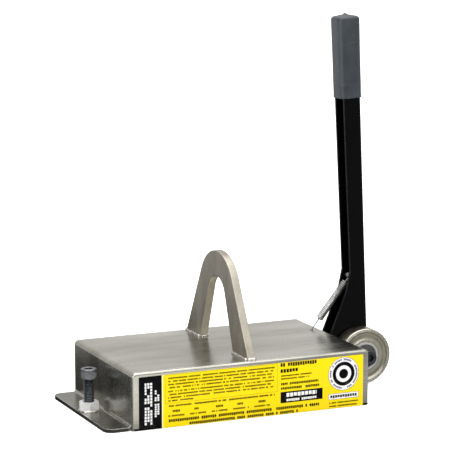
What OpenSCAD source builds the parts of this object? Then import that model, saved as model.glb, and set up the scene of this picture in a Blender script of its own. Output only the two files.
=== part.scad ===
// Permanent lifting magnet with a roller release lever and a jack screw.
// X runs along the housing towards the lever, Y across it towards the back, and Z up.
// The origin is the centre of the working face, straight under the lifting bail.

/* [Housing] */
// Length of the housing over its end walls
body_l = 306; // [270:1:380]
// Width of the housing over its side plates
body_w = 195.6; // [170:0.2:240]
// Height of the housing
body_h = 69; // [64:1:90]
// Thickness of the stainless sheet
sheet_t = 4.8; // [3:0.1:5.5]
// Inside radius of the bends at the top edges
bend_in_r = 1.2; // [0.5:0.1:4]
// Inside radius of the bend into the flange
flange_bend_r = 4; // [2:0.5:6]
// Depth of the end flange from the end wall
flange_d = 30.5; // [29:0.5:45]
// Radius of the flange's outer corners
flange_corner_r = 11; // [3:0.5:14]

/* [Lifting bail] */
// Thickness of the bail plate
bail_t = 10; // [8:0.5:16]
// Width of the bail over its feet
bail_foot_w = 186.4; // [150:0.2:190]
// Clear width between the feet
bail_gap_w = 97.6; // [70:0.2:110]
// Height of the bail above the housing
bail_rise = 116; // [95:1:140]
// Thickness of the bail at its top
bail_crown_t = 31; // [20:1:40]
// Lean of the outer edges from upright
bail_outer_lean = 28.2; // [26:0.1:31]
// Lean of the inner edges from upright
bail_inner_lean = 20; // [18:0.1:23]
// Leg length of the fillet welds
weld_leg = 5; // [3:0.5:7]

/* [Magnet pack] */
// Number of pole bars, an odd number so that one stands at the centre
pole_n = 5; // [5]
// Thickness of a pole bar
pole_t = 15.9; // [10:0.1:22]
// Thickness of the backing plate
backing_t = 12.7; // [8:0.1:16]
// Depth of the potting between the pole bars
potting_d = 11; // [6:1:16]
// Recess of the potting from the working face
potting_recess = 1; // [0.5:0.5:2]
// Magnet blocks side by side in a row
block_n = 3; // [2:1:5]
// Gap between the pack and the housing walls
pack_gap = 1.5; // [0.5:0.1:3]
// Clearance between a magnet block and what is beside it
block_clear = 0.2; // [0.1:0.1:0.5]
// Shank diameter of the pole screws
pole_screw_d = 8; // [6:1:10]
// Length of thread in a pole bar
pole_screw_grip = 18; // [12:1:24]
// Clearance round the pole screws
screw_clear = 0.15; // [0.1:0.05:0.3]

/* [Jack screw] */
// Shank diameter of the jack screw
jack_d = 12.7; // [10:0.1:13]
// Length of the shank under the head
jack_l = 42; // [32:1:46]
// Distance of the jack screw from the end wall
jack_out = 17; // [16:0.5:18]
// Width of the jack nut across its flats
jack_nut_af = 22.2; // [20:0.1:23]
// Height of the jack nut
jack_nut_h = 11.1; // [8:0.1:13]
// Turn of the jack nut about its screw
jack_nut_turn = 16.6; // [0:0.1:60]
// Height of the screw's tip above the working face
jack_tip_z = 1.2; // [1:0.1:3]
// Radial running clearance of the screw in its nut
jack_clear = 0.07; // [0.03:0.01:0.1]

/* [Release lever] */
// Distance of the pivot from the end wall
pivot_out = 21.5; // [20:0.5:26]
// Height of the pivot above the working face
pivot_z = 30; // [27:0.5:36]
// Diameter of the pivot pin
pivot_d = 12.7; // [10:0.1:13]
// Radial running clearance of the pin in its bush
pivot_clear = 0.05; // [0.02:0.01:0.1]
// Outer diameter of the pivot bush
bush_d = 16; // [15:0.5:17]
// Radius of the lug round the pivot
lug_r = 11.5; // [10.5:0.1:11.8]
// Front face of the lever channel, from the housing's mid plane
lever_y = 13.5; // [13:0.1:20]
// Width of the lever channel over its flanges
lever_w = 25; // [22:0.5:32]
// Thickness of the lever's sheet
lever_t = 3; // [2:0.1:4]
// Height of the channel's top above the pivot
lever_h = 429.3; // [350:0.1:500]
// Lean of the lever towards the housing
lever_lean = 2.48; // [0:0.1:4]
// Distance of the web's outer face from the pivot, at the pivot's height
web_out = 36.9; // [33:0.1:40]
// Depth of the channel at its top
channel_d = 25.2; // [21:0.1:29]
// Depth of the channel at its waist, above the flare
waist_d = 22.4; // [19:0.1:25]
// Height of the waist above the pivot
waist_h = 112; // [100:1:130]
// Height above the pivot where the flare begins to straighten
flare_h = 86; // [75:1:95]
// Depth of the channel where the flare begins to straighten
flare_d = 29; // [26:0.5:34]
// Height above the pivot where the flare meets the wall
foot_h = 24; // [20:1:30]
// Gap between the lever's edge and the end wall
wall_gap = 0.4; // [0.3:0.1:1]
// Outer radius of the channel's bends
channel_bend_r = 4.5; // [4:0.5:6]

/* [Hand grip] */
// Length of the grip
grip_l = 105; // [80:1:130]
// Wall of the grip
grip_t = 2.4; // [1.5:0.1:4]
// Thickness of the grip's closed end
grip_end_t = 5; // [3:0.5:8]
// Corner radius of the grip
grip_corner_r = 6; // [3:0.5:8]

/* [Roller] */
// Diameter of the roller wheel
wheel_d = 70; // [64:0.5:72]
// Width of the roller wheel
wheel_w = 22; // [20:0.5:22]
// Distance of the axle from the pivot, along the housing
axle_out = 19.5; // [19:0.1:21]
// Height of the axle above the pivot
axle_up = 8; // [7.5:0.1:9]
// Diameter of the axle screw
axle_d = 12.7; // [10:0.1:13]
// Bore of the bearings
bearing_bore = 15; // [14.5:0.1:16]
// Outer diameter of the bearings
bearing_od = 35; // [34:0.5:37]
// Radial thickness of a bearing race
race_t = 2.3; // [2:0.1:2.6]
// Diameter of the bearing balls
ball_d = 5.94; // [5:0.01:6]
// Balls in one bearing
ball_n = 8; // [7:1:9]
// Clearance round a ball
ball_clear = 0.08; // [0.03:0.01:0.1]
// Width of the wheel's rim
rim_w = 4.2; // [3:0.1:6]
// Width of the wheel's hub round the bearing
hub_w = 3.3; // [2.5:0.1:5]
// Depth of the wheel's dished faces
dish_d = 2.2; // [1:0.1:4]

/* [Return spring] */
// Outer diameter of the coil
spring_d = 9.5; // [7:0.5:11]
// Diameter of the wire
wire_d = 1.4; // [1:0.1:2]
// Distance of the spring's hole from the end wall
spring_hole_in = 16; // [14:0.5:22]
// Distance of the spring from the housing's mid plane
spring_y = 28; // [24:0.5:30]
// Anchor pin's distance from the pivot, along the housing
anchor_out = 16.5; // [14:0.5:18]
// Anchor pin's height above the pivot
anchor_up = 104; // [98:1:108]
// Diameter of the anchor pin
anchor_d = 5; // [4:0.5:6]

/* [Label] */
// Length of the label
label_l = 290; // [200:1:300]
// Height of the label
label_h = 63; // [50:1:63]
// Height of the label's lower edge
label_z = 0.8; // [0.5:0.1:3]
// Thickness of the label
label_t = 0.3; // [0.2:0.1:0.5]

/* [Hidden] */
$fn = 96;

end_x = body_l / 2;
side_y = body_w / 2;
inner_x = end_x - sheet_t;
inner_y = side_y - sheet_t;
inner_h = body_h - sheet_t;
corner_r = bend_in_r + sheet_t;

// pole pack
pack_l = 2 * (inner_x - pack_gap);
pole_w = 2 * (inner_y - pack_gap);
pole_h = inner_h - backing_t;
pole_pitch = (pack_l - pole_t) / (pole_n - 1);
pole_gap = pole_pitch - pole_t;
potting_top = potting_recess + potting_d;
block_w = (pole_w - 2 * block_clear * (block_n + 1)) / block_n;
pole_screw_y = pole_w / 3;
screw_head_d = pole_screw_d * 1.6;
screw_head_h = pole_screw_d;

// jack screw
jack_x = -end_x - jack_out;
jack_head_z = jack_tip_z + jack_l;
jack_hole_r = jack_d / 2 + 0.5;

// lever
pivot_x = end_x + pivot_out;
heel_r = pivot_out - wall_gap;
lever_back_y = lever_y + lever_w;
gap_y0 = lever_y + lever_t;
gap_y1 = lever_back_y - lever_t;
lug_clear = 0.3;
pin_head_t = 1.5;
pin_head_r = pivot_d / 2 + 2.6;
washer_t = 1.5;
clip_t = 1.2;
clip_r = pivot_d / 2 + 2.6;
clip_groove_r = pivot_d / 2 - 1.2;
clip_y = lever_back_y + washer_t + 0.2;
toe_drop = 13;
channel_top = lever_h / cos(lever_lean);
function web_u(h) = web_out - h * tan(lever_lean);

// roller
axle_x = pivot_x + axle_out;
axle_z = pivot_z + axle_up;
wheel_y = -wheel_w / 2;
sleeve_clear = 0.05;
bearing_w = wheel_w / 2;
outer_race_r = bearing_od / 2 - race_t;
inner_race_r = bearing_bore / 2 + race_t;
pitch_r = (outer_race_r + inner_race_r) / 2;
groove_r = ball_d / 2 + ball_clear;
shield_t = 0.6;
shield_inset = 0.5;
rear_washer_t = 2.5;
nut_h = axle_d;
nut_af = axle_d * 1.5;

// spring
hole_x = end_x - spring_hole_in;
hole_r = 2.6;
anchor_x = pivot_x + anchor_out;
anchor_z = pivot_z + anchor_up;
hook_x = hole_x + hole_r - wire_d / 2 - 0.3;
hook_z = body_h + wire_d;
spring_len = sqrt(pow(anchor_x - hook_x, 2) + pow(anchor_z - hook_z, 2));
spring_angle = atan2(anchor_x - hook_x, anchor_z - hook_z);
eye_r = anchor_d / 2 + wire_d / 2 + 0.4;
coil_start = 15;
coil_end = spring_len - eye_r - 6;
pocket_w = 18;

// Extrudes an XZ outline from y0 to y1
module along_y(y0, y1) {
    translate([0, y1, 0]) rotate([90, 0, 0]) linear_extrude(y1 - y0) children();
}

// Extrudes a YZ outline from x0 to x1
module along_x(x0, x1) {
    translate([x0, 0, 0]) rotate([90, 0, 90]) linear_extrude(x1 - x0) children();
}

// Round bar along Y
module rod_y(x, y0, y1, z, r) {
    translate([x, y1, z]) rotate([90, 0, 0]) cylinder(h = y1 - y0, r = r);
}

// Ring along Y
module ring_y(x, y0, y1, z, r_out, r_in) {
    difference() {
        rod_y(x, y0, y1, z, r_out);
        rod_y(x, y0 - 1, y1 + 1, z, r_in);
    }
}

// Quarter of a ring in the outline plane, turned to start at the given angle
module quarter_ring(r_in, r_out, start) {
    rotate(start) intersection() {
        difference() {
            circle(r_out);
            circle(r_in);
        }
        square(r_out + 1);
    }
}

// Hexagon of the given width across flats, with its corners chamfered by two cones
module hex_blank(af, h) {
    corner = af / 2 / cos(30);
    intersection() {
        cylinder(h = h, r = corner, $fn = 6);
        translate([0, 0, -corner * 0.25]) cylinder(h = h + corner * 0.3, r1 = corner * 0.55, r2 = corner * 1.6);
        translate([0, 0, h + corner * 0.25]) mirror([0, 0, 1])
            cylinder(h = h + corner * 0.3, r1 = corner * 0.55, r2 = corner * 1.6);
    }
}

// Socket head cap screw along +Z, head upwards, with its seat at z = 0
module cap_screw(d, shank_l) {
    head_h = d;
    difference() {
        union() {
            cylinder(h = head_h - 0.8, r = d * 0.75);
            translate([0, 0, head_h - 0.8]) cylinder(h = 0.8, r1 = d * 0.75, r2 = d * 0.75 - 0.8);
            translate([0, 0, -shank_l + 1]) cylinder(h = shank_l, r = d / 2);
            translate([0, 0, -shank_l]) cylinder(h = 1, r1 = d / 2 - 1, r2 = d / 2);
        }
        translate([0, 0, head_h / 2]) cylinder(h = head_h, r = d * 0.375 / cos(30), $fn = 6);
    }
}

// Housing

module shell_outline() {
    translate([-end_x + corner_r, inner_h]) square([body_l - 2 * corner_r, sheet_t]);
    translate([inner_x, 0]) square([sheet_t, body_h - corner_r]);
    translate([-end_x, sheet_t + flange_bend_r])
        square([sheet_t, body_h - corner_r - sheet_t - flange_bend_r]);
    translate([end_x - corner_r, body_h - corner_r]) quarter_ring(bend_in_r, corner_r, 0);
    translate([-end_x + corner_r, body_h - corner_r]) quarter_ring(bend_in_r, corner_r, 90);
    translate([-end_x - flange_bend_r, sheet_t + flange_bend_r])
        quarter_ring(flange_bend_r, flange_bend_r + sheet_t, -90);
    translate([-end_x - flange_d, 0]) square([flange_d - flange_bend_r, sheet_t]);
}

module flange_corner(side) {
    translate([-end_x - flange_d + flange_corner_r, side * (inner_y - flange_corner_r), -1])
        difference() {
            translate([-flange_corner_r - 1, side > 0 ? 0 : -flange_corner_r - 1, 0])
                cube([flange_corner_r + 1, flange_corner_r + 1, sheet_t + 2]);
            translate([0, 0, -1]) cylinder(h = sheet_t + 4, r = flange_corner_r);
        }
}

module housing_shell() {
    color("#a9a496") difference() {
        along_y(-inner_y, inner_y) shell_outline();
        flange_corner(1);
        flange_corner(-1);
        translate([jack_x, 0, -1]) cylinder(h = sheet_t + 2, r = jack_hole_r);
        translate([hole_x, spring_y, inner_h - 1]) cylinder(h = sheet_t + 2, r = hole_r);
    }
}

module side_plate(y0) {
    along_y(y0, y0 + sheet_t) {
        translate([-end_x, 0]) square([body_l, body_h - corner_r]);
        translate([-end_x + corner_r, 0]) square([body_l - 2 * corner_r, body_h]);
        for (s = [-1, 1]) translate([s * (end_x - corner_r), body_h - corner_r]) circle(corner_r);
    }
}

module front_side_plate() {
    color("#b9b3a2") side_plate(-side_y);
}

module rear_side_plate() {
    color("#b9b3a2") side_plate(inner_y);
}

// An arch with straight leaning legs that run tangent into a round crown
module arch_outline(foot_w, lean, rise, base) {
    r = (foot_w / 2 * cos(lean) - rise * sin(lean)) / (1 - sin(lean));
    centre = base + rise - r;
    touch_y = r * cos(lean);
    touch_z = centre + r * sin(lean);
    polygon([[-foot_w / 2, base], [foot_w / 2, base], [touch_y, touch_z], [-touch_y, touch_z]]);
    translate([0, centre]) circle(r);
}

module lifting_bail() {
    below = 1;
    color("#9a9384") along_x(-bail_t / 2, bail_t / 2) difference() {
        arch_outline(bail_foot_w, bail_outer_lean, bail_rise, body_h);
        arch_outline(bail_gap_w + 2 * below * tan(bail_inner_lean), bail_inner_lean,
            bail_rise - bail_crown_t + below, body_h - below);
    }
}

module bail_welds() {
    foot_in = bail_gap_w / 2;
    foot_out = bail_foot_w / 2;
    side_leg = min(weld_leg, side_y - foot_out) - 0.2;
    color("#c9c3b4") for (s = [-1, 1]) {
        for (face = [-1, 1]) along_y(s > 0 ? foot_in : -foot_out, s > 0 ? foot_out : -foot_in)
            polygon([[face * bail_t / 2, body_h], [face * (bail_t / 2 + weld_leg), body_h],
                [face * bail_t / 2, body_h + weld_leg]]);
        along_x(-bail_t / 2, bail_t / 2)
            polygon([[s * foot_out, body_h], [s * (foot_out + side_leg), body_h],
                [s * (foot_out - side_leg * tan(bail_outer_lean)), body_h + side_leg]]);
    }
}

module label_plate() {
    color("#f2e22c") translate([-label_l / 2, -side_y - label_t, label_z])
        cube([label_l, label_t, label_h]);
}

// Magnet pack

function pole_x(i) = -pack_l / 2 + pole_t / 2 + i * pole_pitch;

module backing_plate() {
    color("#c2c5c8") difference() {
        translate([-pack_l / 2, -pole_w / 2, pole_h]) cube([pack_l, pole_w, backing_t]);
        for (i = [0 : pole_n - 1], s = [-1, 1]) translate([pole_x(i), s * pole_screw_y, pole_h - 1]) {
            cylinder(h = backing_t + 2, r = pole_screw_d / 2 + screw_clear);
            translate([0, 0, 1 + backing_t - screw_head_h]) cylinder(h = screw_head_h + 1, r = screw_head_d / 2 + 0.3);
        }
        translate([hole_x - pocket_w / 2, spring_y - pocket_w / 2, pole_h - 1])
            cube([pocket_w + spring_hole_in, pocket_w, backing_t + 2]);
    }
}

module pole_bar(i) {
    color("#7f8287") difference() {
        translate([pole_x(i) - pole_t / 2, -pole_w / 2, 0]) cube([pole_t, pole_w, pole_h]);
        for (s = [-1, 1]) translate([pole_x(i), s * pole_screw_y, pole_h - pole_screw_grip - 2])
            cylinder(h = pole_screw_grip + 3, r = pole_screw_d / 2 + screw_clear);
    }
}

module magnet_row(i) {
    x0 = pole_x(i) + pole_t / 2 + block_clear;
    color("#3b3a3c") for (k = [0 : block_n - 1])
        translate([x0, -pole_w / 2 + 2 * block_clear + k * (block_w + 2 * block_clear), potting_top])
            cube([pole_gap - 2 * block_clear, block_w, pole_h - potting_top - block_clear]);
}

module potting() {
    color("#2c2f31") for (i = [0 : pole_n - 2])
        translate([pole_x(i) + pole_t / 2, -pole_w / 2, potting_recess]) cube([pole_gap, pole_w, potting_d]);
}

module pole_screws() {
    color("#26272a") for (i = [0 : pole_n - 1], s = [-1, 1])
        translate([pole_x(i), s * pole_screw_y, inner_h - screw_head_h])
            cap_head(pole_screw_d, pole_screw_grip + backing_t - screw_head_h);
}

// Plain socket screw, head upwards, with its seat at z = 0
module cap_head(d, shank_l) {
    difference() {
        union() {
            cylinder(h = d - 0.2, r = screw_head_d / 2);
            translate([0, 0, -shank_l]) cylinder(h = shank_l + 1, r = d / 2);
        }
        translate([0, 0, d / 2]) cylinder(h = d, r = d * 0.375 / cos(30), $fn = 6);
    }
}

// Jack screw

module jack_nut() {
    color("#d9d9d2") translate([jack_x, 0, sheet_t]) difference() {
        rotate(jack_nut_turn) hex_blank(jack_nut_af, jack_nut_h);
        translate([0, 0, -1]) cylinder(h = jack_nut_h + 2, r = jack_d / 2 + jack_clear);
    }
}

module jack_screw() {
    color("#1d1d20") translate([jack_x, 0, jack_head_z]) cap_screw(jack_d, jack_l);
}

// Pivot

module pivot_lug() {
    root = 12;
    color("#a09a8c") difference() {
        along_y(gap_y0 + lug_clear, gap_y1 - lug_clear) {
            translate([end_x, pivot_z - lug_r]) square([pivot_out, 2 * lug_r]);
            translate([pivot_x, pivot_z]) circle(lug_r);
            polygon([[end_x, pivot_z - lug_r - 6], [end_x + root, pivot_z - lug_r],
                [end_x + root, pivot_z + lug_r], [end_x, pivot_z + lug_r + 9]]);
        }
        rod_y(pivot_x, gap_y0, gap_y1, pivot_z, bush_d / 2);
    }
}

module pivot_bush() {
    color("#b08d4c") ring_y(pivot_x, gap_y0 + lug_clear, gap_y1 - lug_clear, pivot_z,
        bush_d / 2, pivot_d / 2 + pivot_clear);
}

module pivot_pin() {
    tail_y = clip_y + clip_t + 2;
    color("#b9bbbd") difference() {
        union() {
            rod_y(pivot_x, lever_y - pin_head_t, lever_y, pivot_z, pin_head_r);
            rod_y(pivot_x, lever_y - 0.5, tail_y, pivot_z, pivot_d / 2);
        }
        ring_y(pivot_x, clip_y, clip_y + clip_t, pivot_z, pivot_d, clip_groove_r);
    }
}

module pivot_washer() {
    color("#c4c6c8") ring_y(pivot_x, lever_back_y, lever_back_y + washer_t, pivot_z,
        clip_r, pivot_d / 2 + 0.2);
}

module pivot_clip() {
    slot = clip_groove_r * 1.3;
    color("#3a3b3e") difference() {
        ring_y(pivot_x, clip_y + 0.1, clip_y + clip_t - 0.1, pivot_z, clip_r, clip_groove_r + 0.05);
        translate([pivot_x - slot / 2, clip_y - 1, pivot_z - clip_r - 1]) cube([slot, clip_t + 2, clip_r + 1]);
    }
}

// Lever

// A point given from the pivot, in the lever's own frame
function in_lever(u, h) = [(u - web_out) * cos(lever_lean) + h * sin(lever_lean),
    (web_out - u) * sin(lever_lean) + h * cos(lever_lean)];

// Side outline of a flange in the lever's own frame, up to where it bends into the web
module flange_outline() {
    polygon([in_lever(0, -heel_r), in_lever(-heel_r, 0), in_lever(-heel_r, foot_h),
        in_lever(web_u(flare_h) - flare_d, flare_h), in_lever(web_u(waist_h) - waist_d, waist_h),
        [-channel_d, channel_top], [-channel_bend_r, channel_top], [-channel_bend_r, -toe_drop]]);
    translate(in_lever(0, 0)) circle(heel_r);
}

// Puts children in the lever's own frame: origin on the web at the pivot's height, z along the lever
module lever_frame() {
    translate([pivot_x + web_out, lever_y, pivot_z]) rotate([0, -lever_lean, 0]) children();
}

module lever_channel() {
    web_l = channel_top + toe_drop;
    bend = channel_bend_r;
    color("#131417") difference() {
        lever_frame() {
            for (y = [0, lever_w - lever_t]) along_y(y, y + lever_t) flange_outline();
            translate([-lever_t, bend, -toe_drop]) cube([lever_t, lever_w - 2 * bend, web_l]);
            for (back = [0, 1]) translate([-bend, back ? lever_w - bend : bend, -toe_drop])
                linear_extrude(web_l) quarter_ring(bend - lever_t, bend, back ? 0 : -90);
        }
        rod_y(pivot_x, lever_y - 1, lever_back_y + 1, pivot_z, pivot_d / 2);
        rod_y(axle_x, lever_y - 1, lever_back_y + 1, axle_z, axle_d / 2);
    }
}

module round_square(w, d, r) {
    translate([r, 0]) square([w - 2 * r, d]);
    translate([0, r]) square([w, d - 2 * r]);
    for (x = [r, w - r], y = [r, d - r]) translate([x, y]) circle(r);
}

module hand_grip() {
    grip_x = channel_d + 0.9;
    outer_x = grip_x + 2 * grip_t;
    outer_y = lever_w + 2 * grip_t;
    top = channel_top + 1;
    color("#4d555e") lever_frame() difference() {
        union() {
            translate([-grip_x - grip_t, -grip_t, top - grip_l + grip_end_t])
                linear_extrude(grip_l - grip_end_t) round_square(outer_x, outer_y, grip_corner_r);
            translate([-grip_x - grip_t + 1.5, -grip_t + 1.5, top])
                linear_extrude(grip_end_t) round_square(outer_x - 3, outer_y - 3, grip_corner_r - 1.5);
        }
        translate([-grip_x, 0, top - grip_l]) cube([grip_x, lever_w, grip_l]);
    }
}

module spring_anchor_pin() {
    color("#b9bbbd") rod_y(anchor_x, gap_y0, gap_y1, anchor_z, anchor_d / 2);
}

// Spring

// A tube that stands for the closed coil, on a straight wire with a hook below and an eye above
module return_spring() {
    below_z = inner_h - wire_d;
    wire_r = wire_d / 2;
    color("#c8cbcc") {
        translate([hook_x - wire_r, spring_y, below_z]) rotate([0, 90, 0]) cylinder(h = 5, r = wire_r);
        translate([hook_x, spring_y, below_z]) cylinder(h = hook_z - below_z + wire_r, r = wire_r);
        translate([hook_x, spring_y, hook_z]) rotate([0, spring_angle, 0]) {
            cylinder(h = spring_len - eye_r + wire_r / 2, r = wire_r);
            translate([0, 0, coil_start]) difference() {
                cylinder(h = coil_end - coil_start, r = spring_d / 2);
                translate([0, 0, -1]) cylinder(h = coil_end - coil_start - wire_d + 1, r = spring_d / 2 - wire_d);
            }
            translate([0, wire_r, spring_len]) rotate([90, 0, 0]) difference() {
                cylinder(h = wire_d, r = eye_r + wire_r);
                translate([0, 0, -1]) cylinder(h = wire_d + 2, r = eye_r - wire_r);
            }
        }
    }
}

// Roller

// Half outline of the wheel, with the axle along the outline's y
module wheel_outline() {
    r = wheel_d / 2;
    chamfer = 1;
    rim_r = r - rim_w;
    hub_r = bearing_od / 2 + hub_w;
    half = wheel_w / 2;
    slope = dish_d;
    polygon([[bearing_od / 2, -half + 0.5], [hub_r, -half + 0.5], [hub_r + 0.6, -half + dish_d],
        [rim_r - slope, -half + dish_d], [rim_r, -half], [r - chamfer, -half], [r, -half + chamfer],
        [r, half - chamfer], [r - chamfer, half], [rim_r, half], [rim_r - slope, half - dish_d],
        [hub_r + 0.6, half - dish_d], [hub_r, half - 0.5], [bearing_od / 2, half - 0.5]]);
}

module at_axle() {
    translate([axle_x, 0, axle_z]) rotate([-90, 0, 0]) children();
}

module roller_wheel() {
    color("#a8a28c") at_axle() rotate_extrude($fn = 180) wheel_outline();
}

// Repeats children in the two bearings' mid planes
module at_bearings() {
    at_axle() for (s = [-1, 1]) translate([0, 0, s * bearing_w / 2]) children();
}

// A race between two radii, with its ball groove
module race(r_in, r_out) {
    clear = 0.05;
    rotate_extrude() difference() {
        translate([r_in, -bearing_w / 2 + clear]) square([r_out - r_in, bearing_w - 2 * clear]);
        translate([pitch_r, 0]) circle(groove_r);
    }
}

module bearing_outer_races() {
    color("#b4b6b8") at_bearings() race(outer_race_r, bearing_od / 2);
}

module bearing_inner_races() {
    color("#c0c2c4") at_bearings() race(bearing_bore / 2, inner_race_r);
}

module bearing_shields() {
    color("#5a5d60") at_bearings() for (s = [-1, 1])
        translate([0, 0, s * (bearing_w / 2 - shield_inset - shield_t / 2) - shield_t / 2]) difference() {
            cylinder(h = shield_t, r = outer_race_r);
            translate([0, 0, -1]) cylinder(h = shield_t + 2, r = inner_race_r + 0.3);
        }
}

function ball_spot(k) = [pitch_r * cos(k * 360 / ball_n), pitch_r * sin(k * 360 / ball_n), 0];

module bearing_balls() {
    color("#d5d8da") at_bearings() for (k = [0 : ball_n - 1])
        translate(ball_spot(k)) sphere(d = ball_d, $fn = 32);
}

module bearing_cages() {
    cage_t = 1.2;
    cage_w = 7.4;
    color("#8a6f3a") at_bearings() difference() {
        translate([0, 0, -cage_w / 2]) difference() {
            cylinder(h = cage_w, r = pitch_r + cage_t / 2);
            translate([0, 0, -1]) cylinder(h = cage_w + 2, r = pitch_r - cage_t / 2);
        }
        for (k = [0 : ball_n - 1]) rotate([0, 90, k * 360 / ball_n])
            cylinder(h = pitch_r + 3, r = groove_r + 0.02, $fn = 32);
    }
}

module axle_screw() {
    color("#17171a") translate([axle_x, wheel_y, axle_z]) rotate([90, 0, 0])
        cap_screw(axle_d, wheel_w / 2 + lever_back_y + rear_washer_t + nut_h + 2);
}

module axle_sleeve() {
    color("#b9bbbd") ring_y(axle_x, wheel_y, wheel_w / 2, axle_z,
        bearing_bore / 2, axle_d / 2 + sleeve_clear);
}

module axle_spacer() {
    color("#c4c6c8") ring_y(axle_x, wheel_w / 2, lever_y, axle_z, inner_race_r, axle_d / 2 + sleeve_clear);
}

module channel_spacer() {
    color("#8c8f92") ring_y(axle_x, gap_y0, gap_y1, axle_z, axle_d / 2 + 1.6, axle_d / 2 + sleeve_clear);
}

module axle_washer() {
    color("#c4c6c8") ring_y(axle_x, lever_back_y, lever_back_y + rear_washer_t, axle_z,
        axle_d / 2 + 4.6, axle_d / 2 + 0.2);
}

module lock_nut() {
    collar_h = 3;
    color("#cfd1cf") translate([axle_x, lever_back_y + rear_washer_t, axle_z]) rotate([-90, 0, 0])
        difference() {
            union() {
                hex_blank(nut_af, nut_h - collar_h);
                cylinder(h = nut_h, r = nut_af / 2 - 1.2);
            }
            translate([0, 0, -1]) cylinder(h = nut_h + 2, r = axle_d / 2 + sleeve_clear);
        }
}

housing_shell();
front_side_plate();
rear_side_plate();
lifting_bail();
bail_welds();
label_plate();
backing_plate();
pole_bar(0);  // pole_bar_1
pole_bar(1);  // pole_bar_2
pole_bar(2);  // pole_bar_3
pole_bar(3);  // pole_bar_4
pole_bar(4);  // pole_bar_5
magnet_row(0);  // magnet_row_1
magnet_row(1);  // magnet_row_2
magnet_row(2);  // magnet_row_3
magnet_row(3);  // magnet_row_4
potting();
pole_screws();
jack_nut();
jack_screw();
pivot_lug();
pivot_bush();
pivot_pin();
pivot_washer();
pivot_clip();
lever_channel();
hand_grip();
spring_anchor_pin();
return_spring();
roller_wheel();
bearing_outer_races();
bearing_inner_races();
bearing_shields();
bearing_balls();
bearing_cages();
axle_screw();
axle_sleeve();
axle_spacer();
channel_spacer();
axle_washer();
lock_nut();
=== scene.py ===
import math

import bmesh
import bpy
import numpy as np
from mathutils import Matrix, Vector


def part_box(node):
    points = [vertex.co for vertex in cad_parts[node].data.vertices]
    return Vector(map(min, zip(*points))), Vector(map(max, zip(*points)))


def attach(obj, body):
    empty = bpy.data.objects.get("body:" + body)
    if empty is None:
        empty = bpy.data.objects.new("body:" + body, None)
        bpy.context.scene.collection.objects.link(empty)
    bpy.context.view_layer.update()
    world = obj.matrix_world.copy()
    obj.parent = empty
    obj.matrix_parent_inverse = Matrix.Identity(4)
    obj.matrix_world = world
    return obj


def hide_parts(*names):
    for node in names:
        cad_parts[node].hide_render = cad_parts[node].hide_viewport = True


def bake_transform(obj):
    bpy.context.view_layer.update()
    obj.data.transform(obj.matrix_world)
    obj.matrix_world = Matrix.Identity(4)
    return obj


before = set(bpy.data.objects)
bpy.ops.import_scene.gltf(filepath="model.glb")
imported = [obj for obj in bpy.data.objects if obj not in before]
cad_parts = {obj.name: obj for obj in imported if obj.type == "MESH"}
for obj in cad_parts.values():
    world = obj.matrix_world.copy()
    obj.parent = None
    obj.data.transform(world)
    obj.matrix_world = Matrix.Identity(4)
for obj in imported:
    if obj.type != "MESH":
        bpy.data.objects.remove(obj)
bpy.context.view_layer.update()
print("frame loaded:", len(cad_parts), "nodes")

mm = 0.001
finishes = {}  # every material by its name, filled in below

meshing = dict(merge=2e-6, flatAngle=0.6, edgeAngle=32, bevelSegments=2)


def circleAngles(count):
    return np.linspace(0, 2 * np.pi, count, endpoint=False)


def gridFaces(rows, cols, closeRows):
    # quad (i, j) joins grid point i * cols + j, the next one along its row and the two above them
    i = np.arange(rows if closeRows else rows - 1)[:, None]
    j = np.arange(cols)[None, :]
    up, side = (i + 1) % rows, (j + 1) % cols
    return np.stack([i * cols + j, i * cols + side, up * cols + side, up * cols + j], -1).reshape(-1, 4)


def gridPart(points, closeRows=False, caps=False):
    # a grid of points (rows, cols, 3), closed along each row; caps closes the first and last row flat
    rows, cols = points.shape[:2]
    faces = gridFaces(rows, cols, closeRows).tolist()
    if caps:
        faces += [list(range(cols))[::-1], list(range((rows - 1) * cols, rows * cols))]
    return points.reshape(-1, 3), faces


def cleanMesh(mesh, sharp, flatten=False):
    # doubles merged, flat faces made whole if asked, normals turned out, edges past the angle kept sharp
    work = bmesh.new()
    work.from_mesh(mesh)
    bmesh.ops.remove_doubles(work, verts=work.verts, dist=meshing["merge"])
    if flatten:
        bmesh.ops.dissolve_limit(work, angle_limit=math.radians(meshing["flatAngle"]), verts=work.verts,
                edges=work.edges)
    bmesh.ops.recalc_face_normals(work, faces=work.faces)
    work.to_mesh(mesh)
    work.free()
    mesh.shade_smooth()
    mesh.set_sharp_from_angle(angle=math.radians(sharp))


def addObject(name, data):
    piece = bpy.data.objects.new(name, data)
    bpy.context.collection.objects.link(piece)
    return piece


def finishPiece(piece, finish, body, nodes):
    piece.data.materials.clear()
    piece.data.materials.append(finishes[finish])
    if body:
        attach(piece, body)
    if nodes:
        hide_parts(*nodes)


def makePiece(name, parts, finish, body, nodes=(), sharp=35, weighted=False):
    # parts are closed shells (points in mm, faces); they become one mesh in metres with merged doubles
    mesh = bpy.data.meshes.new(name)
    points, faces, start = [], [], 0
    for shellPoints, shellFaces in parts:
        points.append(shellPoints)
        faces += [[k + start for k in face] for face in shellFaces]
        start += len(shellPoints)
    mesh.from_pydata(np.concatenate(points) * mm, [], faces)
    cleanMesh(mesh, sharp)
    piece = addObject(name, mesh)
    if weighted:
        piece.modifiers.new("flatFaces", "WEIGHTED_NORMAL").keep_sharp = True
    finishPiece(piece, finish, body, nodes)
    return piece


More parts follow.
